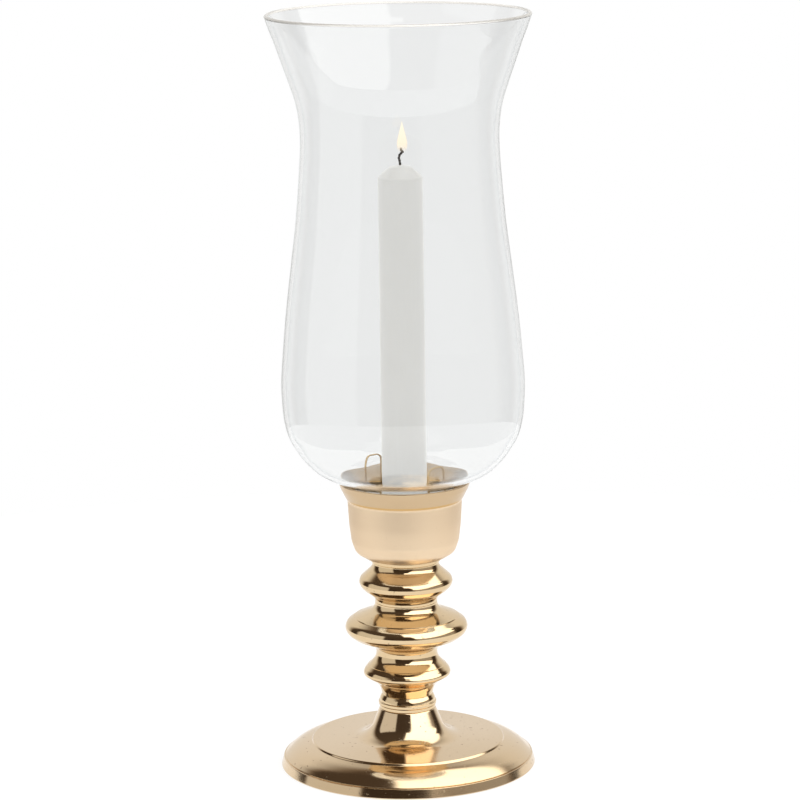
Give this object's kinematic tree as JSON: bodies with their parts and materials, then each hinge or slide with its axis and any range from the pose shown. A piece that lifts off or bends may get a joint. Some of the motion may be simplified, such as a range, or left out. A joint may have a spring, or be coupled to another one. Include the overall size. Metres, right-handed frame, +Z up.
{
  "type": "hurricane candle lantern",
  "caption": "Turned brass candle stand with a flared clear glass shade resting in its cup, wire springs that centre the shade, and a white dinner candle.",
  "frame": {"origin": "centre of the underside of the felt pad, on the turning axis", "axes": "+Z up along the turning axis, -Y towards the front"},
  "size_m": [0.1272, 0.1272, 0.3688],
  "materials": {
    "polished_brass": "polished",
    "satin_brass": "satin",
    "spring_wire": "polished",
    "zinc_steel": "satin",
    "weight_iron": "matte",
    "felt": "matte",
    "clear_glass": "clear",
    "candle_wax": "satin",
    "burnt_wick": "matte"
  },
  "bodies": {
    "stand": {"felt_pad": "felt", "foot": "polished_brass", "ballast": "weight_iron", "foot_nut": "zinc_steel", "lock_washer": "zinc_steel", "foot_washer": "zinc_steel", "tie_rod": "zinc_steel", "collar": "polished_brass", "lower_knop": "polished_brass", "middle_knop": "polished_brass", "upper_knop": "polished_brass", "cup_seat": "polished_brass", "cup": "satin_brass", "spring_plate": "polished_brass", "candle_socket": "polished_brass", "socket_nut": "zinc_steel"},
    "shade_body": {"shade": "clear_glass"},
    "candle_body": {"candle": "candle_wax", "wick": "burnt_wick"},
    "loop_left": {"spring_left": "spring_wire"},
    "loop_right": {"spring_right": "spring_wire"}
  },
  "joints": [
    {"name": "shade_lift", "type": "slide", "parent": "stand", "child": "shade_body", "axis": [0, 0, 1], "range_m": [0, 0.18]},
    {"name": "candle_lift", "type": "slide", "parent": "stand", "child": "candle_body", "axis": [0, 0, 1], "range_m": [0, 0.26]},
    {"name": "spring_left_flex", "type": "hinge", "parent": "stand", "child": "loop_left", "pos_m": [-0.01524, 0.01279, 0.1071], "axis": [0.6428, 0.766, 0], "range_deg": [0, 4], "stiffness_Nm_per_rad": 0.05},
    {"name": "spring_right_flex", "type": "hinge", "parent": "stand", "child": "loop_right", "pos_m": [0.01524, -0.01279, 0.1071], "axis": [-0.6428, -0.766, 0], "range_deg": [0, 4], "stiffness_Nm_per_rad": 0.05}
  ]
}
